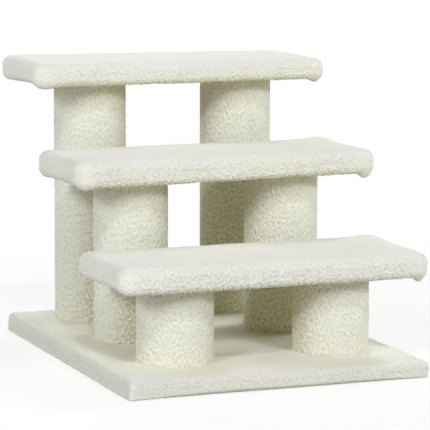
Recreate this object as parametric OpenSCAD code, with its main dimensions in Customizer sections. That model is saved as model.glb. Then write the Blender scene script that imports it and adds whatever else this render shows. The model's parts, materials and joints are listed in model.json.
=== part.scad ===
// Pet stairs: three plush-covered steps on six plush-covered posts over one base.
// Millimetres. +Z is up and the steps rise towards +Y. The origin is the centre
// of the footprint, on the floor.

/* [Steps] */
// Width of a covered step, side to side
step_w = 360; // [320:1:440]
// Depth of a covered step, front to back
step_d = 150; // [130:1:190]
// Height from one step's top to the next
rise = 97; // [70:1:130]
// How far each step reaches back under the one above
step_overlap = 8; // [0:1:20]
// Thickness of a step's board
step_board_t = 18; // [15:1:25]
// Corner radius of a covered step in plan
step_corner_r = 20; // [16:1:35]
// Radius of a covered step's top edges
step_top_edge_r = 12; // [8:1:14]
// Radius of a covered step's bottom edges
step_bottom_edge_r = 9; // [6:1:12]
// How far the folded plush hangs down at a step's corners
tuck_drop = 3.5; // [0:0.5:6]
// Radius of the folded plush at a step's corners
tuck_r = 10; // [6:1:12]

/* [Base] */
// How far a step's side reaches past the base's side
side_overhang = 5; // [-20:1:12]
// How far the lower step's front stands behind the base's front
front_setback = 13.5; // [0:0.5:40]
// How far the upper step's back reaches past the base's back
rear_overhang = 7.5; // [-30:0.5:15]
// Thickness of the base's board
base_board_t = 15; // [12:1:22]
// Corner radius of the covered base in plan
base_corner_r = 12; // [10:1:30]
// Radius of the covered base's top edges
base_top_edge_r = 8; // [6:1:9]
// Radius of the covered base's bottom edges
base_bottom_edge_r = 4; // [2:0.5:6]
// Width of the hem that is folded under the base's board
base_hem_w = 35; // [20:1:50]

/* [Posts] */
// Distance from a step's side to the centre of its post
post_inset = 88; // [80:1:110]
// Plush-to-plush height of the lower posts
lower_post_h = 86.5; // [60:0.5:140]
// Outer diameter of a cardboard tube
tube_d = 74; // [66:1:78]
// Wall of a cardboard tube
tube_wall = 4; // [2.5:0.5:6]
// Thickness of the plug at each end of a tube
plug_t = 20; // [16:1:26]

/* [Plush] */
// Thickness of the plush, pile and backing together
plush_t = 5; // [4:0.5:7]
// Thickness of the plush where a tube presses it onto the base's board
pressed_plush_t = 1; // [0.5:0.25:2]
// Thickness of the hem that the base's weight presses flat
pressed_hem_t = 1.5; // [1:0.25:3]
// Gap between a step's hem and the posts that stand inside it
hem_gap = 3; // [1:0.5:5]
// Gap between the two edges of a sleeve at its seam
seam_gap = 0.8; // [0.4:0.1:2]
// Radius of a hem's inner corners
hem_corner_r = 6; // [3:1:12]

/* [Bolts and studs] */
// Diameter of the bolts and studs
thread_d = 8; // [6:1:8]
// Length of a base bolt under its head
bolt_l = 35; // [32:1:45]
// Diameter of a bolt's head
bolt_head_d = 18; // [13:0.5:20]
// Height of a bolt's head
bolt_head_h = 3; // [2:0.25:3.25]
// Width across the flats of the socket in a bolt's head
socket_w = 5; // [4:0.5:6]
// Depth of the socket in a bolt's head
socket_depth = 2.4; // [1.5:0.1:4]
// Diameter of a washer
washer_d = 22; // [18:0.5:24]
// Thickness of a washer
washer_t = 1.6; // [1:0.1:1.8]
// Depth of the recess in the base's board for a head and washer
recess_depth = 5; // [4.75:0.25:8]
// Length of a stud between a top plug and its step
stud_l = 40; // [36:1:42]
// Chamfer at the end of a bolt or stud
thread_chamfer = 0.8; // [0.4:0.1:1.5]

/* [Tee nuts] */
// Diameter of a tee nut's flange
tee_flange_d = 22; // [18:0.5:25]
// Thickness of a tee nut's flange
tee_flange_t = 1.5; // [1:0.1:2]
// Diameter of a tee nut's barrel
tee_barrel_d = 10; // [9.5:0.1:11]
// Length of a tee nut's barrel, flange included
tee_barrel_l = 9; // [7:0.5:12]
// Length of a tee nut's prongs under its flange
tee_prong_l = 6; // [4:0.5:8]
// Width of a tee nut's prongs
tee_prong_w = 3; // [2:0.5:4]
// Thickness of a tee nut's prongs
tee_prong_t = 1.2; // [0.8:0.1:1.6]

/* [Staples] */
// Distance between staples along a hem
staple_pitch = 58; // [35:1:90]
// Width of a staple's crown
staple_w = 12; // [9:0.5:14]
// Thickness of a staple's wire
staple_wire = 0.7; // [0.5:0.1:1]
// Length of a staple's legs
staple_leg = 8; // [5:0.5:10]
// How far a staple's crown sinks into the hem under the base
base_crown_sink = 0.4; // [0.2:0.1:0.7]
// How far a staple's crown sinks into a step's hem
step_crown_sink = 2.5; // [1:0.25:3]

/* [Clearances] */
// Gap all round where one piece fits into another
fit_gap = 0.2; // [0.1:0.05:0.4]
// Gap all round a bolt or stud in its hole
hole_gap = 0.4; // [0.2:0.1:0.6]
// Gap between an outer and an inner thread
thread_gap = 0.05; // [0.02:0.01:0.1]
// Gap all round a washer in its recess
recess_gap = 1.5; // [0.5:0.25:3]

/* [Hidden] */
ROWS = ["lower", "middle", "upper"];
SIDES = ["left", "right"];
POST_PIECES = ["tube", "sleeve", "bottom_plug", "top_plug"];

PLUSH = [0.90, 0.90, 0.86];
PARTICLE_BOARD = [0.76, 0.63, 0.45];
CARDBOARD = [0.67, 0.52, 0.36];
FIBREBOARD = [0.62, 0.49, 0.34];
ZINC = [0.76, 0.77, 0.79];

// Finish of round faces, and of the corners that a hull joins
$fn = 96;
hull_fn = 32;
// How far out towards a corner a tuck sits, as a share of the room there
corner_share = 0.6;
// Overrun of every cut past the face that it opens
over = 1;

// Layout along Y, from the base's front edge to the furthest back
step_pitch = step_d - step_overlap;
steps_run = (len(ROWS) - 1) * step_pitch + step_d;
base_w = step_w - 2 * side_overhang;
base_l = front_setback + steps_run - rear_overhang;
overall_l = max(base_l, front_setback + steps_run);
base_front_y = -overall_l / 2;
base_y = base_front_y + base_l / 2;
function step_y(row) = base_front_y + front_setback + row * step_pitch + step_d / 2;

// Heights
base_t = pressed_hem_t + base_board_t + plush_t;
step_t = step_board_t + 2 * plush_t;
function step_z(row) = base_t + lower_post_h + row * rise;
function board_z(row) = step_z(row) + plush_t;

// Boards are the covered sizes less the plush
base_board_w = base_w - 2 * plush_t;
base_board_l = base_l - 2 * plush_t;
step_board_w = step_w - 2 * plush_t;
step_board_d = step_d - 2 * plush_t;

// Posts
sleeve_d = tube_d + 2 * (fit_gap + plush_t);
bore_d = tube_d - 2 * tube_wall;
plug_d = bore_d - 2 * fit_gap;
post_x = step_w / 2 - post_inset;
tube_z = base_t - plush_t + pressed_plush_t;
step_hem_w = (step_board_d - sleeve_d) / 2 - hem_gap;
function side_x(side) = (side == 0 ? -1 : 1) * post_x;
function tube_l(row) = board_z(row) - tube_z;

// Hardware
shank_hole_d = thread_d + 2 * hole_gap;
recess_d = washer_d + 2 * recess_gap;
recess_z = pressed_hem_t + recess_depth;
tee_wall_hole_d = tee_barrel_d + 2 * fit_gap;
tee_prong_count = 4;
stud_proud = 2.5;

// Rounded rectangle, centred, in the XY plane
module rounded_rect(w, l, r) {
    square([w - 2 * r, l], center = true);
    square([w, l - 2 * r], center = true);
    for (x = [-1, 1], y = [-1, 1])
        translate([x * (w / 2 - r), y * (l / 2 - r)]) circle(r);
}

// Flat board with square edges, standing on z = 0
module board(w, l, t, r) {
    linear_extrude(t) rounded_rect(w, l, r);
}

// Ring of round section, for the hulls that round a plush edge
module edge_ring(corner_r, edge_r) {
    rotate_extrude($fn = hull_fn)
        intersection() {
            translate([corner_r - edge_r, 0]) circle(edge_r, $fn = hull_fn);
            translate([0, -edge_r]) square([corner_r, 2 * edge_r]);
        }
}

// Slab with rounded corners and soft edges, standing on z = 0
module soft_slab(w, l, t, corner_r, top_r, bottom_r) {
    hull()
        for (x = [-1, 1], y = [-1, 1])
            translate([x * (w / 2 - corner_r), y * (l / 2 - corner_r)]) {
                translate([0, 0, t - top_r]) edge_ring(corner_r, top_r);
                translate([0, 0, bottom_r]) edge_ring(corner_r, bottom_r);
            }
}

// Round bar along +Z from z = 0, chamfered at its top, and at its foot if asked
module threaded_bar(l, both_ends) {
    foot = both_ends ? thread_chamfer : 0;
    r = thread_d / 2;
    rotate_extrude()
        polygon([
            [0, 0], [r - foot, 0], [r, foot],
            [r, l - thread_chamfer], [r - thread_chamfer, l], [0, l]
        ]);
}

// Copies its children at every post's foot, or at the two posts of one row
module at_posts(rows = [0:len(ROWS) - 1]) {
    for (row = rows, side = [0:len(SIDES) - 1])
        translate([side_x(side), step_y(row)]) children();
}

// Tee nut with its flange's outer face on z = 0 and its barrel along -Z
module tee_nut() {
    difference() {
        union() {
            translate([0, 0, -tee_flange_t]) cylinder(h = tee_flange_t, d = tee_flange_d);
            translate([0, 0, -tee_barrel_l]) cylinder(h = tee_barrel_l, d = tee_barrel_d);
            tee_prongs(tee_flange_t);
        }
        translate([0, 0, -tee_barrel_l - over])
            cylinder(h = tee_barrel_l + 2 * over, d = thread_d + 2 * thread_gap);
    }
}

// Prongs of a tee nut, which reach up by the given amount
module tee_prongs(top) {
    for (i = [0:tee_prong_count - 1])
        rotate(i * 360 / tee_prong_count)
            translate([
                tee_flange_d / 2 - 2 * tee_prong_t,
                -tee_prong_w / 2,
                -tee_flange_t - tee_prong_l
            ])
                cube([tee_prong_t, tee_prong_w, tee_prong_l + top]);
}

// What a tee nut needs cut into the wood, its flange flush on z = 0
module tee_nut_seat() {
    translate([0, 0, -tee_flange_t]) cylinder(h = tee_flange_t + over, d = tee_flange_d + 2 * fit_gap);
    translate([0, 0, -tee_barrel_l - fit_gap]) cylinder(h = tee_barrel_l + over, d = tee_wall_hole_d);
    tee_prongs(tee_flange_t);
}

// Staple with its crown's outer face on z = 0 and its legs along +Z. A dimple,
// cut into the plush that it holds, carries the crown's outline out below it.
module staple(dimple) {
    translate([-staple_w / 2, -staple_wire / 2, -dimple])
        cube([staple_w, staple_wire, staple_wire + dimple]);
    for (x = [-1, 1])
        translate([x * (staple_w - staple_wire) / 2 - staple_wire / 2, -staple_wire / 2, 0])
            cube([staple_wire, staple_wire, staple_wire + staple_leg]);
}

// Staples along the two hems that run in X
module staple_row(run, across, hem_w, dimple) {
    count = max(2, round((run - 2 * hem_w) / staple_pitch) + 1);
    reach = run - 2 * hem_w - staple_w;
    for (i = [0:count - 1], y = [-1, 1])
        translate([-reach / 2 + reach * i / (count - 1), y * (across - hem_w) / 2]) staple(dimple);
}

// Staples round a hem of a board of w by l, along the middle of the hem
module hem_staples(w, l, hem_w, dimple) {
    staple_row(w, l, hem_w, dimple);
    rotate(90) staple_row(l, w, hem_w, dimple);
}

module base_hem_staples(dimple = 0) {
    translate([0, base_y, base_crown_sink])
        hem_staples(base_board_w, base_board_l, base_hem_w, dimple);
}

module step_hem_staples(row, dimple = 0) {
    translate([0, step_y(row), step_z(row) + step_crown_sink])
        hem_staples(step_board_w, step_board_d, step_hem_w, dimple);
}

// Folded plush that hangs below the four corners of a step, which stands on z = 0
module corner_tucks() {
    inset = step_corner_r - (step_corner_r - tuck_r) * corner_share;
    for (x = [-1, 1], y = [-1, 1])
        translate([x * (step_w / 2 - inset), y * (step_d / 2 - inset), tuck_r - tuck_drop])
            sphere(tuck_r);
}

module base_board() {
    color(PARTICLE_BOARD)
        translate([0, base_y, pressed_hem_t])
            difference() {
                board(base_board_w, base_board_l, base_board_t, base_corner_r - plush_t);
                translate([0, -base_y, 0]) at_posts() {
                    translate([0, 0, -over]) cylinder(h = base_board_t + 2 * over, d = shank_hole_d);
                    translate([0, 0, -over]) cylinder(h = recess_depth + over, d = recess_d);
                }
                translate([0, -base_y, -pressed_hem_t]) base_hem_staples();
            }
}

module base_cover() {
    color(PLUSH)
        difference() {
            translate([0, base_y, 0])
                soft_slab(base_w, base_l, base_t, base_corner_r, base_top_edge_r, base_bottom_edge_r);
            translate([0, base_y, pressed_hem_t])
                board(base_board_w, base_board_l, base_board_t, base_corner_r - plush_t);
            translate([0, base_y, -over])
                board(
                    base_board_w - 2 * base_hem_w, base_board_l - 2 * base_hem_w,
                    pressed_hem_t + 2 * over, hem_corner_r
                );
            at_posts() {
                translate([0, 0, tube_z]) cylinder(h = plush_t, d = tube_d + 2 * fit_gap);
                cylinder(h = base_t, d = shank_hole_d);
            }
            base_hem_staples(over);
        }
}

module step_board(row) {
    color(PARTICLE_BOARD)
        difference() {
            translate([0, step_y(row), board_z(row)])
                board(step_board_w, step_board_d, step_board_t, step_corner_r - plush_t);
            at_posts([row]) {
                translate([0, 0, board_z(row) + step_board_t]) tee_nut_seat();
                translate([0, 0, board_z(row) - over]) cylinder(h = step_board_t, d = shank_hole_d);
            }
            step_hem_staples(row);
        }
}

module step_cover(row) {
    color(PLUSH)
        difference() {
            translate([0, step_y(row), step_z(row)]) {
                soft_slab(step_w, step_d, step_t, step_corner_r, step_top_edge_r, step_bottom_edge_r);
                corner_tucks();
            }
            translate([0, step_y(row), board_z(row)])
                board(step_board_w, step_board_d, step_board_t, step_corner_r - plush_t);
            translate([0, step_y(row), step_z(row) - over])
                board(
                    step_board_w - 2 * step_hem_w, step_board_d - 2 * step_hem_w,
                    plush_t + 2 * over, hem_corner_r
                );
            step_hem_staples(row, step_crown_sink + over);
        }
}

module post_tube(row) {
    color(CARDBOARD)
        translate([0, 0, tube_z])
            difference() {
                cylinder(h = tube_l(row), d = tube_d);
                translate([0, 0, -over]) cylinder(h = tube_l(row) + 2 * over, d = bore_d);
            }
}

module post_sleeve(row) {
    sleeve_l = board_z(row) - base_t;
    color(PLUSH)
        translate([0, 0, base_t])
            difference() {
                cylinder(h = sleeve_l, d = sleeve_d);
                translate([0, 0, -over]) cylinder(h = sleeve_l + 2 * over, d = tube_d + 2 * fit_gap);
                translate([-seam_gap / 2, 0, -over]) cube([seam_gap, sleeve_d, sleeve_l + 2 * over]);
            }
}

// Plug on z = 0 with its tee nut's flange flush in its top face
module plug() {
    color(FIBREBOARD)
        difference() {
            cylinder(h = plug_t, d = plug_d);
            translate([0, 0, -over]) cylinder(h = plug_t + 2 * over, d = shank_hole_d);
            translate([0, 0, plug_t]) tee_nut_seat();
        }
}

module post_bottom_plug() {
    translate([0, 0, tube_z]) plug();
}

module post_top_plug(row) {
    translate([0, 0, board_z(row)]) mirror([0, 0, 1]) plug();
}

module post_piece(piece, row) {
    if (piece == "tube") post_tube(row);
    if (piece == "sleeve") post_sleeve(row);
    if (piece == "bottom_plug") post_bottom_plug();
    if (piece == "top_plug") post_top_plug(row);
}

module base_bolts() {
    color(ZINC)
        at_posts() translate([0, 0, recess_z - washer_t]) difference() {
            union() {
                threaded_bar(bolt_l, false);
                translate([0, 0, -bolt_head_h]) cylinder(h = bolt_head_h, d = bolt_head_d);
            }
            translate([0, 0, -bolt_head_h - over])
                cylinder(h = socket_depth + over, d = socket_w / cos(30), $fn = 6);
        }
}

module base_washers() {
    color(ZINC)
        at_posts() translate([0, 0, recess_z - washer_t]) difference() {
            cylinder(h = washer_t, d = washer_d);
            translate([0, 0, -over]) cylinder(h = washer_t + 2 * over, d = shank_hole_d);
        }
}

module bottom_plug_tee_nuts() {
    color(ZINC) at_posts() translate([0, 0, tube_z + plug_t]) tee_nut();
}

module top_plug_tee_nuts() {
    color(ZINC)
        for (row = [0:len(ROWS) - 1])
            at_posts([row]) translate([0, 0, board_z(row) - plug_t]) mirror([0, 0, 1]) tee_nut();
}

module step_tee_nuts() {
    color(ZINC)
        for (row = [0:len(ROWS) - 1])
            at_posts([row]) translate([0, 0, board_z(row) + step_board_t]) tee_nut();
}

module step_studs() {
    color(ZINC)
        for (row = [0:len(ROWS) - 1])
            at_posts([row])
                translate([0, 0, board_z(row) - plug_t - stud_proud]) threaded_bar(stud_l, true);
}

module base_staples() {
    color(ZINC) base_hem_staples();
}

module step_staples(row) {
    color(ZINC) step_hem_staples(row);
}

base_board();
base_cover();
for (row = [0:len(ROWS) - 1]) {
    step_board(row);
    step_cover(row);
    step_staples(row);
    for (side = [0:len(SIDES) - 1], piece = POST_PIECES)
        translate([side_x(side), step_y(row)]) post_piece(piece, row);
}
base_bolts();
base_washers();
bottom_plug_tee_nuts();
top_plug_tee_nuts();
step_studs();
step_tee_nuts();
base_staples();
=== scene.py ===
"""Looks of the pet stairs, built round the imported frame. Metres, +Z up, steps rising towards +Y."""

import json
import math

import bpy
import numpy as np
from mathutils import Matrix, Vector


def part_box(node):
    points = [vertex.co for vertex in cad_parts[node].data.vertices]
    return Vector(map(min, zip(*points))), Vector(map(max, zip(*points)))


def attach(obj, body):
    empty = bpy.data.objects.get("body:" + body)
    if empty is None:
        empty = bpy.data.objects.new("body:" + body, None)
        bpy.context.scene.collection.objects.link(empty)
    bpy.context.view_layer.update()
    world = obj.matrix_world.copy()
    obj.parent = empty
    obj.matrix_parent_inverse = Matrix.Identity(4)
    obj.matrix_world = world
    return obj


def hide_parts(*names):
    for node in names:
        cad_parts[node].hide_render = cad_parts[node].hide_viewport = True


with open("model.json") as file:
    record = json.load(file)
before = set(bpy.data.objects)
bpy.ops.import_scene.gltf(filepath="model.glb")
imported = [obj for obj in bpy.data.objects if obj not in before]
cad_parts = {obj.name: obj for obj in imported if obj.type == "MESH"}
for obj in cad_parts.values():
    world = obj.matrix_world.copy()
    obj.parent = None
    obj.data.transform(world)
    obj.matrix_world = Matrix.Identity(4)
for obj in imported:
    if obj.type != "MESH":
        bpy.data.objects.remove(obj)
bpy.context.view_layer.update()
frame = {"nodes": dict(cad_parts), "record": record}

ROWS = ("lower", "middle", "upper")
SIDES = ("left", "right")
MM = 0.001
TINY = 1e-12
HALF = 0.5
WHITE = (1, 1, 1)
BLACK = (0, 0, 0)

# Corners, edges and hems of the covers; some are a little sharper than the solids', as in the photograph
STEP_CORNER = 20 * MM
STEP_TOP_EDGE = 11 * MM
STEP_BOTTOM_EDGE = 9 * MM
BASE_CORNER = 9 * MM
BASE_TOP_EDGE = 6 * MM
BASE_BOTTOM_EDGE = 2.5 * MM
BASE_HEM = 35 * MM
HEM_GAP = 3 * MM
HEM_CORNER = 6 * MM
HEM_LIP = 1.2 * MM
SLEEVE_LIP = 1.4 * MM

# Spacing of the meshes' points, which is wider under a hem
STEP_GRID = 1.2 * MM
BASE_GRID = 1.55 * MM
SLEEVE_GRID = 0.95 * MM
HEM_GRID_TIMES = 1.5
SLEEVE_LIP_POINTS = 4

# Pile: ridges and hollows that wriggle every way, from many waves at once
PILE_WAVES = 48
PILE_SIZES = (2.8 * MM, 5.5 * MM)
PILE_SPREAD = 2.2
PILE_DEPTH = 1.5 * MM
PILE_LEVEL_SHARE = 0.8

# Share of the full pile that stands in each place, and how far it takes to change
STEP_PILE_SHARES = {"lower": 0.8, "middle": 0.85, "upper": 0.68}
TOP_PILE_SHARE = 0.12
TOP_PILE_REACH = 26 * MM
END_PILE_SHARE = 0.35
END_PILE_START = -2 * MM
END_PILE_REACH = 38 * MM
CREST_PILE_SHARE = 0.5
CREST_PILE_REACH = 15 * MM
BASE_PILE_SHARE = 0.45
POST_PILE_SHARE = 0.52
POST_PILE_STRETCH = (1, 1, 1.3)
HEM_PILE_SHARE = 0.7
HEM_LIP_PILE_SHARE = 0.3
SLEEVE_LIP_PILE_SHARE = 0.5
PRESSED_PILE_SHARE = 0.15

# Slow waves and small ruffles on the covers, and a crown on their tops
WAVE = 0.4 * MM
WAVE_SIZE = 42 * MM
RUFFLE = 0.42 * MM
RUFFLE_SIZE = 11 * MM
CROWN = 0.5 * MM
CROWN_POWERS = (4, 2)
CROWN_FROM_SHARE = 0.8

# Shares of a cover's height between which a change of its underside fades out and one of its top fades in
UNDER_SHARES = (0.1, 0.7)
OVER_SHARES = (0.3, 0.9)

# How far the plush on each board's left and right ends lies to the right, in millimetres
END_SHIFTS = {"lower": (1.6, 0.6), "middle": (1.6, 1.5), "upper": (0, 0.7), "base": (-1.2, -3.4)}
END_SHIFT_REACH = 40 * MM

# Height of the plush over a board's corners in millimetres: rear left, rear right, front right, front left
TOP_LEVELS = {
    "lower": (-0.7, -0.6, -2, 0),
    "middle": (-1, 0, -0.2, 0),
    "upper": (1.4, -1.8, -2.2, 0),
    "base": (0, -0.4, -3.2, 0),
}

# How far the point at each board's rear right corner stands up, in millimetres
REAR_TIPS = {"lower": 3.6, "middle": 3.9, "upper": 0.4, "base": 0}
REAR_TIP_REACH = 50 * MM

# Height of the plush under each step's left and right ends in millimetres
BOTTOM_LEVELS = {"lower": (-1, -0.9), "middle": (-3.2, 1.4), "upper": (0, 1.2)}

# Plush drawn up under a step's ends, most between the middle two of four shares of its depth
END_DRAW = 2.3 * MM
END_DRAW_REACH = 34 * MM
END_DRAW_SHARES = (0.04, 0.28, 0.35, 0.95)

# Folded plush that hangs at each step's corners, in their order: drop and radius in millimetres
TUCK_CORNERS = {"front left": (-1, -1), "front right": (1, -1), "rear left": (-1, 1), "rear right": (1, 1)}
TUCKS = {
    "lower": ((0.8, 12), (4.9, 10), (0.4, 12), (0.9, 10)),
    "middle": ((2.2, 13), (6.2, 14), (0.6, 12), (1.2, 11)),
    "upper": ((2.2, 22), (3.6, 13), (0.4, 12), (0.8, 12)),
}
TUCK_INSET = 12 * MM
TUCK_HEIGHT_SHARE = 0.55
MITRE_DEPTH = 1.5 * MM
MITRE_WIDTH = 1.5 * MM

# Powers of the curves at corners that are pushed out: 2 is round, and more is squarer
STEP_REAR_POWERS = {"lower": 6, "middle": 6, "upper": 3}
BASE_CORNER_POWER = 4

# Base: how far its left end leans in at the top, the lift of its front hem between the corners, and the
# least height of its plush over the floor
BASE_LEAN = 2.3 * MM
BASE_FRONT_LIFT = 3.2 * MM
BASE_FRONT_REACH = 6 * MM
BASE_FRONT_POWER = 3
BASE_FRONT_SHARES = (0.2, 0.7)
FLOOR_CLEARANCE = 0.4 * MM

# Seam down the back of a post, and the base's plush where a post stands on it
POST_WAVE = 0.5 * WAVE
SEAM_DEPTH = 2.2 * MM
SEAM_WIDTH = 1.3 * MM
SEAM_WANDER = 1 * MM
SEAM_PILE_LOSS = 0.7
DENT_EDGE = 2.5 * MM
SWELL = 0.9 * MM
SWELL_REACH = 5 * MM
POST_LEVEL_REACH = 30 * MM

# Dimple in a hem round each staple, whose own corners lie nearer to each other than the spacing
STAPLE_SPACING = 15 * MM
STAPLE_COVER = 0.5 * MM
STAPLE_DENT = 6 * MM
STAPLE_PILE_LOSS = 0.8

# Plush in linear colours up the depth of its pile, whose relief is painted in as shade in its hollows and
# light on its crests, most where it is sheltered; light turns olive as it passes from pile to pile
PLUSH_DEEP_SHADE = (0.55, 0.535, 0.44)
PLUSH_ROOT_AND_SHADE = (0.68, 0.675, 0.59)
PLUSH_MIDDLE = (0.82, 0.827, 0.78)
PLUSH_TIP = (0.88, 0.887, 0.84)
PLUSH_CREST_LIGHT = (0.95, 0.955, 0.91)
PLUSH_BOUNCE = (0.93, 0.90, 0.63)
PLUSH_ROUGHNESS = 0.95
PLUSH_SHEEN = 0.12
PLUSH_SHEEN_ROUGHNESS = 0.6
PLUSH_SPECULAR = 0.1
PATCH_SIZE = 60 * MM
PATCH_STOPS = ((0.35, (0.975, 0.975, 0.965)), (0.65, WHITE))

# Curls and fibres of the pile, and the share of the colours' range that its relief takes up as painted
# shade and light
CURL_SIZE = 1.9 * MM
CURL_SHARE = 1.4
CURL_DEPTH = 1.7 * MM
FIBRE_SIZE = 1.1 * MM
FIBRE_SHARE = 0.2
FIBRE_DETAIL = 3
PILE_SHARE = 0.5
DEPTH_SHARE = 0.25

# Painted shade on faces that tilt halfway up, as over rounded top edges, and on the base's sides above
# their foot
BEND_SHADE = 0.085
BASE_SIDE_SHADE = 0.08
BASE_SIDE_REACH = 8 * MM

# Painted shade and light: the relief's contrast in the colours grows in sheltered places, where shade falls
SHELTER_SAMPLES = 4
SHELTER_REACH = 400 * MM
SHELTER_OPEN = 0.4
SHELTER_DEEP = 0.15
SHELTER_CONTRAST = 6

# Inner pieces: sizes of their grain and linear colours
GRAIN_DETAIL = 4
BOARD_ROUGHNESS = 0.8
CHIP_SIZE = 3.5 * MM
CHIP_STRETCH = (0.6, 1.3, 2)
CHIP_STOPS = (
    (0, (0.36, 0.22, 0.10)),
    (0.35, (0.52, 0.35, 0.18)),
    (0.8, (0.62, 0.45, 0.26)),
    (1, (0.70, 0.54, 0.34)),
)
DUST_SIZE = 1 * MM
DUST_STOPS = ((0.3, (0.8, 0.78, 0.75)), (0.7, WHITE))
BOARD_GRAIN = 2 * MM
BOARD_RELIEF = 0.2 * MM
KRAFT_ROUGHNESS = 0.85
KRAFT_SEAM_SCALE = 7
KRAFT_SEAM_WANDER = 0.4
KRAFT_STOPS = ((0, (0.33, 0.19, 0.09)), (0.06, (0.43, 0.26, 0.13)))
KRAFT_FIBRE_SIZE = 1.5 * MM
KRAFT_FIBRE_DETAIL = 5
KRAFT_FIBRE_STRETCH = (1, 1, 0.3)
KRAFT_FIBRE_STOPS = ((0.3, (0.82, 0.80, 0.78)), (0.7, WHITE))
KRAFT_RELIEF = 0.15 * MM
PLUG_ROUGHNESS = 0.8
PLUG_MOTTLE_SIZE = 4 * MM
PLUG_MOTTLE_DETAIL = 6
PLUG_STOPS = ((0.3, (0.26, 0.16, 0.08)), (0.7, (0.37, 0.24, 0.13)))
PLUG_GRAIN = 0.6 * MM
PLUG_RELIEF = 0.1 * MM
ZINC_COLOUR = (0.58, 0.59, 0.61)
ZINC_ROUGHNESS = 0.32
WIRE_COLOUR = (0.55, 0.55, 0.56)
WIRE_ROUGHNESS = 0.4
STEEL_DARK_SHARE = 0.8
STEEL_STOPS = (0.3, 0.7)
STEEL_MARK_SIZE = 1.5 * MM
STEEL_MARK_STRETCH = (1, 1, 6)
STEEL_RELIEF = 0.05 * MM

# Camera, from the photograph's outline
IMAGE_SIDE = 430
FOCAL_PIXELS = 2415.9
SENSOR_MM = 36
CLIP_END = 100
CAMERA_PLACE = Vector((-0.9981, -2.5361, 0.5314))
CAMERA_YAW = math.radians(-21.633)
CAMERA_PITCH = math.radians(-7.788)
CAMERA_ROLL = math.radians(0.177)

# Lamps: name, azimuth and elevation in degrees, side and power
LAMP_AIM = Vector((0, 0, 0.15))
LAMP_DISTANCE = 12
LAMPS = (
    ("front_left_lamp", -50, 25, 2.0, 462),
    ("key_lamp", -15, 46, 0.93, 285),
    ("front_lamp", 14, 25, 2.0, 508),
    ("right_lamp", 90, 14, 3.7, 400),
    ("right_top_lamp", 110, 55, 2.8, 268),
    ("left_top_lamp", -90, 55, 2.8, 158),
    ("left_lamp", -105, 18, 3.2, 222),
    ("back_lamp", 175, 24, 3.7, 430),
)

# Floor, with the colour that light bounces off, and sky
FLOOR_HALF = 30
FLOOR_COLOUR = (0.62, 0.615, 0.56)
FLOOR_SHADOW = 0.28
FLOOR_FADE = (0.35, 0.9)
SKY_STRENGTH = 0.05

# Random draws, the same in every run
RNG = np.random.default_rng(7)
LATTICE = 256
SHUFFLE = np.tile(RNG.permutation(LATTICE), 2)
CELL_POINTS = RNG.random((LATTICE, 3))
WAVE_WAYS = RNG.normal(size=(3, PILE_WAVES))
WAVE_TURNS = 2 * math.pi / RNG.uniform(*PILE_SIZES, PILE_WAVES) / np.linalg.norm(WAVE_WAYS, axis=0)
WAVE_STARTS = RNG.uniform(0, 2 * math.pi, PILE_WAVES)


# Smooth steps and noise

def smooth_step(low, high, value):
    """Rises smoothly from 0 at low to 1 at high."""
    part = np.clip((value - low) / (high - low), 0, 1)
    return part * part * (3 - 2 * part)


def cell_index(cells):
    """Shuffled index of each whole-numbered cell, always the same for the same cell."""
    x, y, z = (cells % LATTICE).T
    return SHUFFLE[SHUFFLE[SHUFFLE[x] + y] + z]


def smooth_noise(points, size):
    """Smooth noise from -1 to 1, with three numbers for each point and bumps about size across."""
    scaled = points / size
    cell = np.floor(scaled).astype(int)
    part = smooth_step(0, 1, scaled - cell)
    total = np.zeros_like(points)
    for corner in np.ndindex(2, 2, 2):
        weight = np.prod(np.where(corner, part, 1 - part), axis=1)
        total += weight[:, None] * CELL_POINTS[cell_index(cell + corner)]
    return 2 * total - 1


def pile(points, stretch):
    """Height of the curly pile at each point, from 0 in its hollows to 1 on its ridges.

    PILE_SPREAD is how many standard deviations of the waves' sum reach from the middle to a ridge.
    """
    angle = (points / np.array(stretch)) @ (WAVE_WAYS * WAVE_TURNS) + WAVE_STARTS
    level = np.cos(angle).sum(axis=1) / math.sqrt(PILE_WAVES / 2)
    return smooth_step(-PILE_SPREAD, PILE_SPREAD, level)


# Meshes

def mesh_object(name, points, faces):
    """Smooth mesh in the scene, of points and of faces that are lists of their numbers."""
    mesh = bpy.data.meshes.new(name)
    mesh.from_pydata(points.tolist(), [], faces)
    mesh.polygons.foreach_set("use_smooth", np.ones(len(mesh.polygons), bool))
    piece = bpy.data.objects.new(name, mesh)
    bpy.context.scene.collection.objects.link(piece)
    return piece


def normals_of(points, quads):
    """Smooth normals of the points of a mesh of quads."""
    a, b, c, d = (points[quads[:, k]] for k in range(4))
    facing = np.cross(c - a, d - b)
    normals = np.zeros_like(points)
    for k in range(4):
        np.add.at(normals, quads[:, k], facing)
    return normals / np.maximum(np.linalg.norm(normals, axis=1, keepdims=True), TINY)


def grid_quads(index):
    """Quads between neighbouring rows and columns of a grid of point numbers."""
    corners = index[:-1, :-1], index[:-1, 1:], index[1:, 1:], index[1:, :-1]
    return np.stack([c.ravel() for c in corners], axis=1)


def add_pile(piece, points, quads, strength, stretch=(1, 1, 1), side_shade=0):
    """Raises the pile out of the points, by strength, and keeps what the material needs.

    It also keeps painted shade, most on faces that tilt halfway up and, by side_shade, on faces that do not
    look up.
    """
    height = pile(points, stretch)
    lift = PILE_DEPTH * strength * (height - PILE_LEVEL_SHARE)
    normals = normals_of(points, quads)
    upward = np.clip(normals[:, 2], 0, 1) ** 2
    bend = 4 * upward * (1 - upward)
    # Painted shade over bends and, by side_shade, on faces that do not look up
    shade = BEND_SHADE * bend + side_shade * (1 - upward)
    points = points + normals * lift[:, None]
    mesh = piece.data
    mesh.vertices.foreach_set("co", points.astype(np.float32).ravel())
    for name, values in (("pile", (height - HALF) * strength), ("fluff", strength), ("shade", shade)):
        mesh.attributes.new(name, "FLOAT", "POINT").data.foreach_set("value", values.astype(np.float32))
    mesh.update()


# Plush round a board

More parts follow.
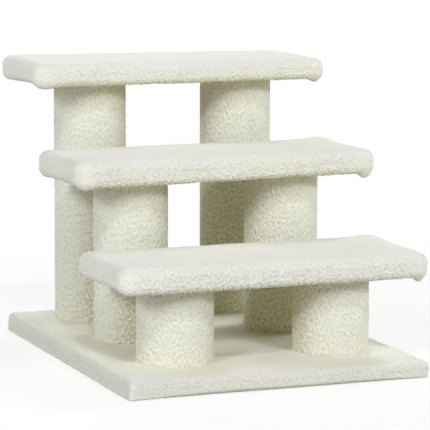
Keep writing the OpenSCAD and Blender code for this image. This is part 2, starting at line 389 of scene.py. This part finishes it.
def along_side(length, corner, step):
    """Lines across a side: place along its straight part and reach into its corners, from -1 to 1."""
    straight = np.linspace(-1, 1, round((length - 2 * corner) / step) + 1)
    bend = np.linspace(0, 1, round(corner / step) + 1)[1:]
    place = np.concatenate([-np.ones_like(bend), straight, np.ones_like(bend)])
    reach = np.concatenate([-bend[::-1], np.zeros_like(straight), bend])
    return place, reach


def round_rim(grid):
    """Values round the rim of a grid, anticlockwise."""
    return np.concatenate([grid[0, :-1], grid[:-1, -1], grid[-1, :0:-1], grid[:0:-1, 0]])


def cover_top(size, corner, edge, step):
    """Top of a cover, out to the middle of its rounded edge: its points, pile strengths and numbers.

    Also, round its rim, the place along each side, the way that each point faces and its number.
    """
    place_x, reach_x = along_side(size.x, corner, step)
    place_y, reach_y = along_side(size.y, corner, step)
    place_x, place_y = np.meshgrid(place_x, place_y)
    reach_x, reach_y = np.meshgrid(reach_x, reach_y)
    most = np.maximum(abs(reach_x), abs(reach_y)) * corner
    turn = np.maximum(np.hypot(reach_x, reach_y), TINY)
    way_x, way_y = reach_x / turn, reach_y / turn

    over = np.maximum(most - (corner - edge), 0)
    slant = np.hypot(over, edge)
    radial = np.minimum(most, corner - edge) + edge * over / slant
    x = place_x * (size.x / 2 - corner) + way_x * radial
    y = place_y * (size.y / 2 - corner) + way_y * radial
    z = size.z - edge + edge * edge / slant
    inset = np.minimum(size.x / 2 - abs(x), size.y / 2 - abs(y))
    strength = 1 + (TOP_PILE_SHARE - 1) * smooth_step(edge / 2, TOP_PILE_REACH, inset)
    index = np.arange(x.size).reshape(x.shape)
    rim = [round_rim(grid) for grid in (place_x, place_y, way_x, way_y, index)]
    return np.stack([x, y, z], axis=-1).reshape(-1, 3), strength.ravel(), index, rim


def edge_profile(height, edges, plush, hem, board_z, step):
    """Inset, height and pile strength down a cover's edge, under its hem and back inside it.

    It starts halfway round the top edge, where the grid of the top ends.
    """
    top_edge, bottom_edge = edges
    reach = plush + hem
    wall_rows = max(2, round((height - top_edge - bottom_edge) / step))
    hem_rows = round((reach - bottom_edge) / (HEM_GRID_TIMES * step))
    top_turn = np.linspace(math.pi / 4, 0, round(top_edge / step) + 1)[1:]
    bottom_turn = np.linspace(0, math.pi / 2, round(math.pi / 2 * bottom_edge / step) + 1)
    wall = np.linspace(height - top_edge, bottom_edge, wall_rows)[1:-1]
    flat = np.linspace(bottom_edge, reach - HEM_LIP, hem_rows)[1:]
    rows = [(top_edge * (1 - math.cos(a)), height - top_edge + top_edge * math.sin(a), 1) for a in top_turn]
    rows += [(0, z, 1) for z in wall]
    rows += [(bottom_edge * (1 - math.cos(a)), bottom_edge * (1 - math.sin(a)), 1) for a in bottom_turn]
    rows += [(inset, 0, HEM_PILE_SHARE) for inset in flat]
    rows += [(reach, HEM_LIP, HEM_LIP_PILE_SHARE), (reach, board_z, 0)]
    rows += [(plush, board_z, 0), (plush, height - plush, 0)]
    return rows


def cover(low, high, corner, edges, plush, hem, board_z, step):
    """Closed plush cover round a board: its points, their pile strengths, its quads and its inner face."""
    size = high - low
    top, top_strength, index, rim = cover_top(size, corner, edges[0], step)
    place_x, place_y, way_x, way_y, outline = rim
    points = [top]
    strength = [top_strength]
    rings = [outline]
    for inset, z, share in edge_profile(size.z, edges, plush, hem, board_z, step):
        radius = max(corner - inset, HEM_CORNER)
        x = place_x * (size.x / 2 - inset - radius) + way_x * radius
        y = place_y * (size.y / 2 - inset - radius) + way_y * radius
        rings.append(sum(len(p) for p in points) + np.arange(len(x)))
        points.append(np.column_stack([x, y, np.full(len(x), z)]))
        strength.append(np.full(len(x), float(share)))

    loops = np.array(rings)
    loops = np.concatenate([loops, loops[:, :1]], axis=1)
    quads = np.concatenate([grid_quads(index), grid_quads(loops.T)])
    foot = np.array([(low.x + high.x) / 2, (low.y + high.y) / 2, low.z])
    return np.concatenate(points) + foot, np.concatenate(strength), quads, rings[-1][::-1].tolist()


def shares(points, low, high):
    """Place of each point in a box, from 0 at its low corner to 1 at its high one."""
    return (points - np.array(low)) / (np.array(high) - np.array(low))


def soften(points, low, high, strength):
    """Slow waves and small ruffles over a cover, and a slight crown on its top."""
    place = shares(points, low, high)
    outside = strength > 0
    wave = WAVE * smooth_noise(points, WAVE_SIZE)
    ruffle = RUFFLE * strength[:, None] * smooth_noise(points, RUFFLE_SIZE)
    points = points + (wave + ruffle) * outside[:, None]
    across, along = (np.clip(1 - abs(2 * place[:, k] - 1) ** CROWN_POWERS[k], 0, 1) for k in range(2))
    points[:, 2] += CROWN * across * along * outside * (place[:, 2] > CROWN_FROM_SHARE)
    return points


def shift_ends(points, low, high, strength, shifts):
    """Moves the plush on the left and right ends of a board along X, and less further in."""
    for shift, inside in zip(shifts, (points[:, 0] - low.x, high.x - points[:, 0])):
        points[:, 0] += shift * MM * (1 - smooth_step(0, END_SHIFT_REACH, inside)) * (strength > 0)


def level_ends(points, low, high, strength, levels):
    """Sets the height of the plush under the left and right ends of a step."""
    place = shares(points, low, high)
    across = np.clip(place[:, 0], 0, 1)
    below = (1 - smooth_step(*UNDER_SHARES, place[:, 2])) * (strength > 0)
    points[:, 2] += MM * (levels[0] + (levels[1] - levels[0]) * across) * below


def level_top(points, low, high, strength, levels, tip):
    """Sets the height of the plush over each corner of a board, with a raised tip at its rear right."""
    across, along, up = shares(points, low, high).T
    across, along = np.clip(across, 0, 1), np.clip(along, 0, 1)
    above = smooth_step(*OVER_SHARES, up) * (strength > 0)
    rear_left, rear_right, front_right, front_left = levels
    rear = rear_left + (rear_right - rear_left) * across
    front = front_left + (front_right - front_left) * across
    away = np.hypot(high.x - points[:, 0], high.y - points[:, 1])
    raised = tip * np.clip(1 - away / REAR_TIP_REACH, 0, 1)
    points[:, 2] += MM * (front + (rear - front) * along + raised) * above


def square_corners(points, low, high, corner, ways_y, power):
    """Pushes a cover's corners out from round to nearly square, at its front (-1), its rear (1) or both."""
    middle_x = {-1: low.x + corner, 1: high.x - corner}
    middle_y = {-1: low.y + corner, 1: high.y - corner}
    for way_x in (-1, 1):
        for way_y in ways_y:
            across = np.maximum(way_x * (points[:, 0] - middle_x[way_x]), 0)
            along = np.maximum(way_y * (points[:, 1] - middle_y[way_y]), 0)
            beyond = (across > 0) & (along > 0)
            square = np.where(beyond, (across**power + along**power) ** (1 / power), 1)
            grow = np.where(beyond, np.hypot(across, along) / square - 1, 0)
            points[:, 0] += way_x * across * grow
            points[:, 1] += way_y * along * grow


def tuck_corners(points, low, high, strength, tucks):
    """Plush pulled tight under a step's ends and hanging in folds at its corners, mitred in its hem."""
    height = points[:, 2] - low.z
    under = (1 - smooth_step(0, TUCK_HEIGHT_SHARE * (high.z - low.z), height)) * (strength > 0)
    hem = (height < HEM_LIP) & (strength > 0)
    along = shares(points, low, high)[:, 1]
    from_end = np.minimum(points[:, 0] - low.x, high.x - points[:, 0])
    between = smooth_step(*END_DRAW_SHARES[:2], along) * (1 - smooth_step(*END_DRAW_SHARES[2:], along))
    lift = END_DRAW * between * (1 - smooth_step(0, END_DRAW_REACH, from_end)) * under
    for way, (drop, radius) in zip(TUCK_CORNERS.values(), tucks):
        way = np.array(way)
        tip = np.where(way > 0, high.xy, low.xy)
        across = points[:, :2] - (tip - TUCK_INSET * way)
        away = np.clip(np.hypot(across[:, 0], across[:, 1]) / (radius * MM), 0, 1)
        lift -= drop * MM * np.cos(away * math.pi / 2) ** 2 * under
        fold = across @ (way * (1, -1)) / math.sqrt(2)
        inward = smooth_step(0, TUCK_INSET, -across @ way)
        lift += MITRE_DEPTH * np.exp(-((fold / MITRE_WIDTH) ** 2)) * inward * hem
    points[:, 2] += lift


def staple_places(node):
    """Each staple of a node: its middle, the way that its crown runs, the crown's height and its width."""
    corners = np.array([v.co for v in frame["nodes"][node].data.vertices])
    places = []
    while len(corners):
        near = np.linalg.norm(corners[:, :2] - corners[0, :2], axis=1) < STAPLE_SPACING
        low, high = corners[near].min(0), corners[near].max(0)
        along = np.array([1.0, 0.0]) if high[0] - low[0] > high[1] - low[1] else np.array([0.0, 1.0])
        places.append(((low + high) / 2, along, low[2], (high - low)[:2].max()))
        corners = corners[~near]
    return places


def dent_staples(points, strength, node, board_z):
    """Draws the hem up round each staple, so that its crown lies in a dimple."""
    under = points[:, 2] < board_z
    for middle, along, crown_z, width in staple_places(node):
        across = points[:, :2] - middle[:2]
        run = np.clip(across @ along, -width / 2, width / 2)
        away = np.linalg.norm(across - run[:, None] * along, axis=1)
        pull = np.exp(-((away / STAPLE_DENT) ** 2)) * under * (strength > 0)
        points[:, 2] += pull * np.maximum(crown_z + STAPLE_COVER - points[:, 2], 0)
        strength = strength * (1 - STAPLE_PILE_LOSS * pull)
    return points, strength


def step_pile(points, low, high, strength, row):
    """Pile of a step, which lies flatter at its ends and near its top."""
    from_end = np.minimum(points[:, 0] - low.x, high.x - points[:, 0])
    ends = smooth_step(END_PILE_START, END_PILE_REACH, from_end)
    crest = smooth_step(0, CREST_PILE_REACH, high.z - points[:, 2])
    strength = strength * STEP_PILE_SHARES[row] * (END_PILE_SHARE + (1 - END_PILE_SHARE) * ends)
    return strength * (CREST_PILE_SHARE + (1 - CREST_PILE_SHARE) * crest)


def step_cover(row):
    """Plush round a step's board, uneven at its corners as in the photograph."""
    node = f"{row}_step_cover"
    low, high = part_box(node)
    board_low, board_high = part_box(f"{row}_step_board")
    sleeve_low, sleeve_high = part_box(f"{row}_left_post_sleeve")
    plush = high.z - board_high.z
    low.z = board_low.z - plush
    hem = (board_high.y - board_low.y - (sleeve_high.x - sleeve_low.x)) / 2 - HEM_GAP
    points, strength, quads, inner = cover(
        low, high, STEP_CORNER, (STEP_TOP_EDGE, STEP_BOTTOM_EDGE), plush, hem, plush, STEP_GRID
    )
    strength = step_pile(points, low, high, strength, row)
    points = soften(points, low, high, strength)
    tuck_corners(points, low, high, strength, TUCKS[row])
    level_top(points, low, high, strength, TOP_LEVELS[row], REAR_TIPS[row])
    level_ends(points, low, high, strength, BOTTOM_LEVELS[row])
    square_corners(points, low, high, STEP_CORNER, (1,), STEP_REAR_POWERS[row])
    shift_ends(points, low, high, strength, END_SHIFTS[row])
    points, strength = dent_staples(points, strength, f"{row}_step_staples", board_low.z)
    piece = mesh_object(f"{row}_step_plush", points, quads.tolist() + [inner])
    add_pile(piece, points, quads, strength)
    dress(piece, node)


def lean_base(points, low, high, strength):
    """Leans the base's left end in at its top and lifts its front hem between the corners."""
    outside = strength > 0
    above = np.clip(shares(points, low, high)[:, 2], 0, 1)
    left = 1 - smooth_step(0, END_SHIFT_REACH, points[:, 0] - low.x)
    points[:, 0] += BASE_LEAN * above * left * outside
    across = np.clip(shares(points, low, high)[:, 0], 0, 1)
    bow = 1 - abs(2 * across - 1) ** BASE_FRONT_POWER
    front = 1 - smooth_step(0, BASE_FRONT_REACH, points[:, 1] - low.y)
    below = 1 - smooth_step(*BASE_FRONT_SHARES, above)
    points[:, 2] += BASE_FRONT_LIFT * bow * front * below * outside


def seat_post(points, strength, row, side, level_z, middle_z):
    """Base's plush at one post: pressed flat by its tube, and level and swollen round its sleeve."""
    tube_low, tube_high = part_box(f"{row}_{side}_post_tube")
    sleeve_low, sleeve_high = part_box(f"{row}_{side}_post_sleeve")
    middle = (tube_low + tube_high) / 2
    radius = (tube_high.x - tube_low.x) / 2
    away = np.hypot(points[:, 0] - middle.x, points[:, 1] - middle.y)
    beside = away - (sleeve_high.x - sleeve_low.x) / 2
    top = points[:, 2] > middle_z
    pressed = (1 - smooth_step(radius, radius + DENT_EDGE, away)) * top
    level = (1 - smooth_step(0, POST_LEVEL_REACH, beside)) * top
    points[:, 2] += level * np.maximum(level_z - points[:, 2], 0)
    points[:, 2] += SWELL * np.exp(-((beside / SWELL_REACH) ** 2)) * top
    points[:, 2] += pressed * (tube_low.z - points[:, 2])
    return strength * (1 - pressed)


def base_cover():
    """Plush round the base board, pressed flat by the floor and by the posts."""
    node = "base_cover"
    low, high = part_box(node)
    board_low, board_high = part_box("base_board")
    plush = high.z - board_high.z
    board_z = board_low.z - low.z
    points, strength, quads, inner = cover(
        low, high, BASE_CORNER, (BASE_TOP_EDGE, BASE_BOTTOM_EDGE), plush, BASE_HEM, board_z, BASE_GRID
    )
    resting = (points[:, 2] < low.z + board_z) & (strength > 0)
    strength = np.where(resting, PRESSED_PILE_SHARE, strength * BASE_PILE_SHARE)
    points = soften(points, low, high, strength)
    square_corners(points, low, high, BASE_CORNER, (-1, 1), BASE_CORNER_POWER)
    shift_ends(points, low, high, strength, END_SHIFTS["base"])
    level_top(points, low, high, strength, TOP_LEVELS["base"], REAR_TIPS["base"])
    lean_base(points, low, high, strength)
    for row in ROWS:
        for side in SIDES:
            strength = seat_post(points, strength, row, side, high.z, board_high.z + plush / 2)
    points, strength = dent_staples(points, strength, "base_staples", board_low.z)
    points[:, 2] = np.maximum(points[:, 2], low.z + FLOOR_CLEARANCE)
    piece = mesh_object("base_plush", points, quads.tolist() + [inner])
    # Painted shade on the base's sides, fading out at their foot
    side_shade = BASE_SIDE_SHADE * smooth_step(0, BASE_SIDE_REACH, points[:, 2] - low.z)
    add_pile(piece, points, quads, strength, side_shade=side_shade)
    dress(piece, node)


# Plush round a post

def sleeve_profile(outer, inner, foot, head):
    """Radius, height and pile strength up the outside of a sleeve and down its inside."""
    rows = round((head - foot - 2 * SLEEVE_LIP) / SLEEVE_GRID)
    wall = np.linspace(foot + SLEEVE_LIP, head - SLEEVE_LIP, rows)
    turns = np.linspace(0, math.pi / 2, SLEEVE_LIP_POINTS)
    lip = [(SLEEVE_LIP * (1 - math.sin(a)), SLEEVE_LIP * (1 - math.cos(a))) for a in turns]
    profile = [(outer - inset, foot + rise, SLEEVE_LIP_PILE_SHARE) for inset, rise in lip[:-1]]
    profile += [(outer, z, POST_PILE_SHARE) for z in wall]
    profile += [(outer - inset, head - drop, SLEEVE_LIP_PILE_SHARE) for drop, inset in lip[1:]]
    return profile + [(inner, head, 0), (inner, foot, 0)]


def wrap(profile, centre, count):
    """Closed mesh of a profile turned round a post: its points, their pile strengths and its quads."""
    radius, z, share = np.array(profile).T[:, :, None]
    angle = np.linspace(0, 2 * math.pi, count, endpoint=False)[None]
    x = centre.x + radius * np.cos(angle)
    y = centre.y + radius * np.sin(angle)
    points = np.stack([x, y, np.broadcast_to(z, x.shape)], axis=-1).reshape(-1, 3)
    index = np.arange(len(points)).reshape(len(profile), count)
    index = np.concatenate([index, index[:, :1]], axis=1)
    index = np.concatenate([index, index[:1]], axis=0)
    return points, np.repeat(share.ravel(), count), grid_quads(index)


def sew(points, strength, centre):
    """Slow waves over a sleeve, and the seam that draws it in down its back."""
    outward = np.column_stack([points[:, :2] - np.array(centre.xy), np.zeros(len(points))])
    outward /= np.linalg.norm(outward, axis=1, keepdims=True)
    drift = smooth_noise(points, WAVE_SIZE)
    off_seam = points[:, 0] - centre.x - SEAM_WANDER * drift[:, 0]
    seam = np.exp(-((off_seam / SEAM_WIDTH) ** 2)) * (outward[:, 1] > 0)
    shift = (POST_WAVE * drift[:, 1] - SEAM_DEPTH * seam) * (strength > 0)
    return points + outward * shift[:, None], strength * (1 - SEAM_PILE_LOSS * seam)


def sleeve(row, side):
    """Plush wrapped round a post's tube, closed by a seam at its back."""
    node = f"{row}_{side}_post_sleeve"
    low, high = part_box(node)
    tube_low, tube_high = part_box(f"{row}_{side}_post_tube")
    outer = (high.x - low.x) / 2
    inner = (tube_high.x - tube_low.x) / 2
    centre = (low + high) / 2
    count = round(2 * math.pi * outer / SLEEVE_GRID)
    points, strength, quads = wrap(sleeve_profile(outer, inner, low.z, high.z), centre, count)
    points, strength = sew(points, strength, centre)
    piece = mesh_object(f"{row}_{side}_post_plush", points, quads.tolist())
    add_pile(piece, points, quads, strength, POST_PILE_STRETCH)
    dress(piece, node)


def dress(piece, node):
    """Gives a plush piece the plush material, hangs it from the root body and hides the CAD node that it
    stands for.
    """
    piece.data.materials.append(PLUSH)
    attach(piece, "root")
    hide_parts(node)


# Shader nodes

def new_material(name, roughness, metallic=0.0):
    """Material with a node tree: its nodes, its links, its shader and its object coordinates."""
    material = bpy.data.materials.new(name)
    material.use_nodes = True
    nodes, links = material.node_tree.nodes, material.node_tree.links
    shader = nodes["Principled BSDF"]
    shader.inputs["Roughness"].default_value = roughness
    shader.inputs["Metallic"].default_value = metallic
    place = nodes.new("ShaderNodeTexCoord").outputs["Object"]
    return material, nodes, links, shader, place


def ramp(nodes, links, value, stops):
    """Colour ramp through (position, linear colour) stops."""
    node = nodes.new("ShaderNodeValToRGB")
    elements = node.color_ramp.elements
    while len(elements) < len(stops):
        elements.new(HALF)
    for element, (position, colour) in zip(elements, stops):
        element.position = position
        element.color = (*colour, 1)
    links.new(value, node.inputs["Fac"])
    return node.outputs["Color"]


def stretched(nodes, links, place, stretch):
    """Coordinates scaled along each axis."""
    node = nodes.new("ShaderNodeMapping")
    node.inputs["Scale"].default_value = stretch
    links.new(place, node.inputs["Vector"])
    return node.outputs["Vector"]


def noise(nodes, links, place, size, detail=2):
    """Noise texture with features about size metres across."""
    node = nodes.new("ShaderNodeTexNoise")
    node.inputs["Scale"].default_value = 1 / size
    node.inputs["Detail"].default_value = detail
    links.new(place, node.inputs["Vector"])
    return node.outputs["Fac"]


def math_node(nodes, links, operation, *values):
    """Output of a math node on sockets and numbers."""
    node = nodes.new("ShaderNodeMath")
    node.operation = operation
    for socket, value in zip(node.inputs, values):
        if isinstance(value, (int, float)):
            socket.default_value = value
        else:
            links.new(value, socket)
    return node.outputs["Value"]


def attribute(nodes, name):
    """Number that add_pile keeps at each point of a mesh."""
    node = nodes.new("ShaderNodeAttribute")
    node.attribute_name = name
    return node.outputs["Fac"]


def bump(nodes, links, shader, height, depth):
    """Fine relief of the shader's surface."""
    node = nodes.new("ShaderNodeBump")
    node.inputs["Distance"].default_value = depth
    links.new(height, node.inputs["Height"])
    links.new(node.outputs["Normal"], shader.inputs["Normal"])


def multiply(nodes, links, colour, other):
    """Product of two colours."""
    node = nodes.new("ShaderNodeMix")
    node.data_type = "RGBA"
    node.blend_type = "MULTIPLY"
    node.inputs["Factor"].default_value = 1
    links.new(colour, node.inputs["A"])
    links.new(other, node.inputs["B"])
    return node.outputs["Result"]


def mix_shaders(nodes, links, share, first, second):
    """First shader where share is 0 and the second where it is 1."""
    node = nodes.new("ShaderNodeMixShader")
    links.new(share, node.inputs["Fac"])
    links.new(first, node.inputs[1])
    links.new(second, node.inputs[2])
    return node.outputs["Shader"]


# Materials

def plush_curls(nodes, links, place):
    """Curls with fine fibres, round 0, as high as the pile is fluffy."""
    fibres = noise(nodes, links, place, FIBRE_SIZE, FIBRE_DETAIL)
    curls = noise(nodes, links, place, CURL_SIZE, detail=0)
    curls = math_node(nodes, links, "MULTIPLY_ADD", fibres, FIBRE_SHARE, curls)
    curls = math_node(nodes, links, "SUBTRACT", curls, HALF + HALF * FIBRE_SHARE)
    return math_node(nodes, links, "MULTIPLY", curls, attribute(nodes, "fluff"))


def painted_shade_contrast(nodes, links):
    """1 in the open, and more where other plush is near, which deepens the painted shade in the pile's
    hollows and the painted light on its crests.
    """
    shelter = nodes.new("ShaderNodeAmbientOcclusion")
    shelter.samples = SHELTER_SAMPLES
    shelter.inputs["Distance"].default_value = SHELTER_REACH
    contrast = nodes.new("ShaderNodeMapRange")
    contrast.inputs["From Min"].default_value = SHELTER_DEEP
    contrast.inputs["From Max"].default_value = SHELTER_OPEN
    contrast.inputs["To Min"].default_value = SHELTER_CONTRAST
    contrast.inputs["To Max"].default_value = 1
    links.new(shelter.outputs["AO"], contrast.inputs["Value"])
    return contrast.outputs["Result"]


def plush_material():
    """Curly pile: olive at the roots and cream at the tips, with fine fibres, painted shade in its hollows
    and over bends, and painted light on its crests where it is sheltered.
    """
    material, nodes, links, shader, place = new_material("plush", PLUSH_ROUGHNESS)
    shader.inputs["Sheen Weight"].default_value = PLUSH_SHEEN
    shader.inputs["Sheen Roughness"].default_value = PLUSH_SHEEN_ROUGHNESS
    shader.inputs["Specular IOR Level"].default_value = PLUSH_SPECULAR
    curls = plush_curls(nodes, links, place)
    relief = math_node(nodes, links, "MULTIPLY", attribute(nodes, "pile"), PILE_SHARE)
    relief = math_node(nodes, links, "MULTIPLY_ADD", curls, CURL_SHARE, relief)
    relief = math_node(nodes, links, "MULTIPLY", relief, DEPTH_SHARE)
    # Painted shade and light: the relief's contrast grows where other plush is near
    level = math_node(nodes, links, "MULTIPLY_ADD", relief, painted_shade_contrast(nodes, links), HALF)
    reach = HALF * DEPTH_SHARE
    stops = [(HALF - reach, PLUSH_ROOT_AND_SHADE), (HALF, PLUSH_MIDDLE), (HALF + reach, PLUSH_TIP)]
    # Pile colours, with painted shade in the hollows and painted light on the crests
    depth = ramp(nodes, links, level, [(0, PLUSH_DEEP_SHADE)] + stops + [(1, PLUSH_CREST_LIGHT)])
    patches = ramp(nodes, links, noise(nodes, links, place, PATCH_SIZE), PATCH_STOPS)
    # Painted shade that add_pile keeps over bends and on the base's sides
    shade = ramp(nodes, links, attribute(nodes, "shade"), [(0, WHITE), (1, BLACK)])
    rays = nodes.new("ShaderNodeLightPath").outputs
    tint = ramp(nodes, links, rays["Is Diffuse Ray"], [(0, WHITE), (1, PLUSH_BOUNCE)])
    colour = multiply(nodes, links, multiply(nodes, links, depth, patches), shade)
    links.new(multiply(nodes, links, colour, tint), shader.inputs["Base Color"])
    bump(nodes, links, shader, curls, CURL_DEPTH)
    return material


def particle_board_material():
    """Pressed chips of several sizes and browns."""
    material, nodes, links, shader, place = new_material("particle_board", BOARD_ROUGHNESS)
    chips = nodes.new("ShaderNodeTexVoronoi")
    chips.inputs["Scale"].default_value = 1 / CHIP_SIZE
    chips.inputs["Randomness"].default_value = 1
    links.new(stretched(nodes, links, place, CHIP_STRETCH), chips.inputs["Vector"])
    each = nodes.new("ShaderNodeSeparateColor")
    links.new(chips.outputs["Color"], each.inputs["Color"])
    colour = ramp(nodes, links, each.outputs["Red"], CHIP_STOPS)
    dust = ramp(nodes, links, noise(nodes, links, place, DUST_SIZE, GRAIN_DETAIL), DUST_STOPS)
    links.new(multiply(nodes, links, colour, dust), shader.inputs["Base Color"])
    bump(nodes, links, shader, noise(nodes, links, place, BOARD_GRAIN, GRAIN_DETAIL), BOARD_RELIEF)
    return material


def cardboard_material():
    """Kraft paper with faint wound seams and long fibres."""
    material, nodes, links, shader, place = new_material("cardboard", KRAFT_ROUGHNESS)
    seams = nodes.new("ShaderNodeTexWave")
    seams.bands_direction = "DIAGONAL"
    seams.inputs["Scale"].default_value = KRAFT_SEAM_SCALE
    seams.inputs["Distortion"].default_value = KRAFT_SEAM_WANDER
    links.new(place, seams.inputs["Vector"])
    tint = ramp(nodes, links, seams.outputs["Fac"], KRAFT_STOPS)
    drawn = stretched(nodes, links, place, KRAFT_FIBRE_STRETCH)
    fibres = noise(nodes, links, drawn, KRAFT_FIBRE_SIZE, KRAFT_FIBRE_DETAIL)
    colour = multiply(nodes, links, tint, ramp(nodes, links, fibres, KRAFT_FIBRE_STOPS))
    links.new(colour, shader.inputs["Base Color"])
    bump(nodes, links, shader, seams.outputs["Fac"], KRAFT_RELIEF)
    return material


def fibreboard_material():
    """Fine brown fibre, a little mottled."""
    material, nodes, links, shader, place = new_material("fibreboard", PLUG_ROUGHNESS)
    mottle = noise(nodes, links, place, PLUG_MOTTLE_SIZE, PLUG_MOTTLE_DETAIL)
    links.new(ramp(nodes, links, mottle, PLUG_STOPS), shader.inputs["Base Color"])
    bump(nodes, links, shader, noise(nodes, links, place, PLUG_GRAIN, GRAIN_DETAIL), PLUG_RELIEF)
    return material


def steel_material(name, colour, roughness):
    """Bright plated steel with faint tool marks."""
    material, nodes, links, shader, place = new_material(name, roughness, metallic=1.0)
    drawn = stretched(nodes, links, place, STEEL_MARK_STRETCH)
    marks = noise(nodes, links, drawn, STEEL_MARK_SIZE, GRAIN_DETAIL)
    darker = tuple(STEEL_DARK_SHARE * c for c in colour)
    finish = ramp(nodes, links, marks, list(zip(STEEL_STOPS, (darker, colour))))
    links.new(finish, shader.inputs["Base Color"])
    bump(nodes, links, shader, marks, STEEL_RELIEF)
    return material


def finish_cad_nodes():
    """Gives each CAD node the material of its slot."""
    finishes = {
        "particle_board": particle_board_material(),
        "cardboard": cardboard_material(),
        "fibreboard": fibreboard_material(),
        "zinc_steel": steel_material("zinc_steel", ZINC_COLOUR, ZINC_ROUGHNESS),
        "staple_wire": steel_material("staple_wire", WIRE_COLOUR, WIRE_ROUGHNESS),
        "plush": PLUSH,
    }
    for entry in frame["record"]["subparts"]:
        node = frame["nodes"][entry["node"]]
        node.data.materials.clear()
        node.data.materials.append(finishes[entry["material_slot"]])


# Stage

def background_rays(nodes, links):
    """1 for rays from the camera or off a mirror or glass, which see the background, and 0 for light."""
    rays = nodes.new("ShaderNodeLightPath").outputs
    seen = math_node(nodes, links, "MAXIMUM", rays["Is Camera Ray"], rays["Is Glossy Ray"])
    return math_node(nodes, links, "MAXIMUM", seen, rays["Is Transmission Ray"])


def shadow_shader(nodes, links):
    """White that only part of the light makes, so that a shadow on it stays light."""
    lit = nodes.new("ShaderNodeBsdfDiffuse")
    lit.inputs["Color"].default_value = (FLOOR_SHADOW, FLOOR_SHADOW, FLOOR_SHADOW, 1)
    glow = nodes.new("ShaderNodeEmission")
    glow.inputs["Strength"].default_value = 1 - FLOOR_SHADOW
    both = nodes.new("ShaderNodeAddShader")
    links.new(lit.outputs["BSDF"], both.inputs[0])
    links.new(glow.outputs["Emission"], both.inputs[1])
    return both.outputs["Shader"]


def fade_out(nodes, links):
    """0 on the floor near the object, and 1 far from it."""
    place = nodes.new("ShaderNodeTexCoord")
    reach = nodes.new("ShaderNodeVectorMath")
    reach.operation = "LENGTH"
    links.new(place.outputs["Object"], reach.inputs[0])
    far = nodes.new("ShaderNodeMapRange")
    far.interpolation_type = "SMOOTHSTEP"
    far.inputs["From Min"].default_value = FLOOR_FADE[0]
    far.inputs["From Max"].default_value = FLOOR_FADE[1]
    links.new(reach.outputs["Value"], far.inputs["Value"])
    return far.outputs["Result"]


def add_floor():
    """White floor that keeps a light shadow round the object and runs out into the white background."""
    corners = FLOOR_HALF * np.array([(-1, -1, 0), (1, -1, 0), (1, 1, 0), (-1, 1, 0)])
    ground = mesh_object("floor", corners, [[0, 1, 2, 3]])
    material = bpy.data.materials.new("floor")
    material.use_nodes = True
    nodes, links = material.node_tree.nodes, material.node_tree.links
    nodes.remove(nodes["Principled BSDF"])
    lit = nodes.new("ShaderNodeBsdfDiffuse")
    lit.inputs["Color"].default_value = (*FLOOR_COLOUR, 1)
    white = nodes.new("ShaderNodeEmission")
    near = shadow_shader(nodes, links)
    seen = mix_shaders(nodes, links, fade_out(nodes, links), near, white.outputs["Emission"])
    surface = mix_shaders(nodes, links, background_rays(nodes, links), lit.outputs["BSDF"], seen)
    links.new(surface, nodes["Material Output"].inputs["Surface"])
    ground.data.materials.append(material)


def add_camera():
    """Camera at the photograph's place, from the yaw, pitch and roll that fit its outline."""
    ahead = Vector((
        -math.sin(CAMERA_YAW) * math.cos(CAMERA_PITCH),
        math.cos(CAMERA_YAW) * math.cos(CAMERA_PITCH),
        math.sin(CAMERA_PITCH),
    ))
    level = Vector((math.cos(CAMERA_YAW), math.sin(CAMERA_YAW), 0))
    above = level.cross(ahead)
    right = level * math.cos(CAMERA_ROLL) + above * math.sin(CAMERA_ROLL)
    up = above * math.cos(CAMERA_ROLL) - level * math.sin(CAMERA_ROLL)
    lens = bpy.data.cameras.new("camera")
    lens.sensor_width = SENSOR_MM
    lens.lens = FOCAL_PIXELS / IMAGE_SIDE * SENSOR_MM
    lens.clip_end = CLIP_END
    eye = bpy.data.objects.new("camera", lens)
    eye.matrix_world = Matrix.Translation(CAMERA_PLACE) @ Matrix((right, up, -ahead)).transposed().to_4x4()
    bpy.context.scene.collection.objects.link(eye)
    bpy.context.scene.camera = eye


def add_lamp(name, azimuth, elevation, size, power):
    """Square area lamp that faces the middle of the object; azimuth 0 is the front, 90 its right side."""
    turn, rise = math.radians(azimuth), math.radians(elevation)
    away = Vector((math.sin(turn) * math.cos(rise), -math.cos(turn) * math.cos(rise), math.sin(rise)))
    light = bpy.data.lights.new(name, "AREA")
    light.size = size
    light.energy = power
    holder = bpy.data.objects.new(name, light)
    aim = away.to_track_quat("Z", "Y").to_matrix().to_4x4()
    holder.matrix_world = Matrix.Translation(LAMP_AIM + LAMP_DISTANCE * away) @ aim
    bpy.context.scene.collection.objects.link(holder)


def add_sky():
    """Faint even light from all round, in front of a white background."""
    sky = bpy.data.worlds.new("sky")
    bpy.context.scene.world = sky
    sky.use_nodes = True
    nodes, links = sky.node_tree.nodes, sky.node_tree.links
    plain = nodes["Background"]
    plain.inputs["Color"].default_value = (*WHITE, 1)
    plain.inputs["Strength"].default_value = SKY_STRENGTH
    white = nodes.new("ShaderNodeBackground")
    white.inputs["Color"].default_value = (*WHITE, 1)
    light, seen = plain.outputs["Background"], white.outputs["Background"]
    surface = mix_shaders(nodes, links, background_rays(nodes, links), light, seen)
    links.new(surface, nodes["World Output"].inputs["Surface"])


add_camera()
PLUSH = plush_material()
finish_cad_nodes()
base_cover()
for row in ROWS:
    step_cover(row)
    for side in SIDES:
        sleeve(row, side)
add_floor()
for settings in LAMPS:
    add_lamp(*settings)
add_sky()
bpy.context.scene.view_settings.view_transform = "Standard"
